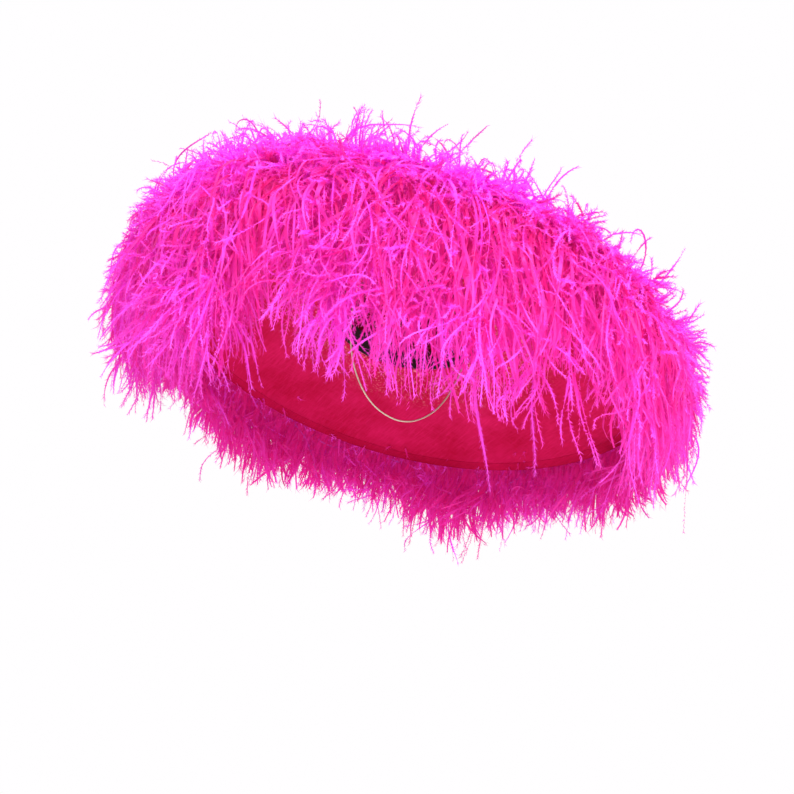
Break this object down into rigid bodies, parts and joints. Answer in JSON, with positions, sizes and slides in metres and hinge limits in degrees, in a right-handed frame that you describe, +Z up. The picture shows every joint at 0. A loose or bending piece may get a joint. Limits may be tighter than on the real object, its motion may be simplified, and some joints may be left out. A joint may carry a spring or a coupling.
{
  "type": "feather-trimmed wide-brim hat",
  "caption": "Wide-brim woven hat covered with rows of pink ostrich feather boa, with a hanging fringe at the rim, a ribbon sweatband and a swinging chin elastic",
  "frame": {"origin": "centre of the oval head opening, in the plane where the crown meets the brim", "axes": "+Z up along the crown, the front of the hat faces -Y, +X to the side; the hat is level"},
  "size_m": [0.6269, 0.627, 0.4039],
  "materials": {
    "woven_straw": "open weave, matt",
    "woven_straw_under": "open weave, matt",
    "wire": "drawn wire",
    "binding": "woven bias strip",
    "sweatband": "ribbed ribbon",
    "boa_cord": "twisted cord",
    "feather": "soft ostrich barbs",
    "thread": "sewing thread",
    "dark_thread": "sewing thread",
    "elastic": "braided cover"
  },
  "bodies": {
    "hat": {"brim_upper_layer": "woven_straw", "brim_under_layer": "woven_straw_under", "brim_edge_wire": "wire", "brim_edge_binding": "binding", "brim_collar": "woven_straw_under", "head_size_wire": "wire", "crown_outer_layer": "woven_straw", "crown_inner_layer": "woven_straw_under", "sweatband": "sweatband", "rim_fringe_tape": "boa_cord", "rim_fringe_plumes": "feather", "brim_boa_core_1": "boa_cord", "brim_boa_core_2": "boa_cord", "brim_boa_core_3": "boa_cord", "brim_boa_core_4": "boa_cord", "brim_boa_core_5": "boa_cord", "brim_boa_plumes_1": "feather", "brim_boa_plumes_2": "feather", "brim_boa_plumes_3": "feather", "brim_boa_plumes_4": "feather", "brim_boa_plumes_5": "feather", "crown_boa_core_1": "boa_cord", "crown_boa_core_2": "boa_cord", "crown_boa_core_3": "boa_cord", "crown_boa_plumes_1": "feather", "crown_boa_plumes_2": "feather", "crown_boa_plumes_3": "feather", "tip_tuft_button": "boa_cord", "tip_tuft_plumes": "feather", "tack_stitches": "thread", "elastic_tacks": "dark_thread"},
    "chin_elastic": {"elastic_cord": "elastic", "elastic_knots": "elastic"}
  },
  "joints": [
    {"name": "elastic_swing", "type": "hinge", "parent": "hat", "child": "chin_elastic", "pos_m": [0, 0, 0.006], "axis": [1, 0, 0], "range_deg": [-75, 75]}
  ]
}
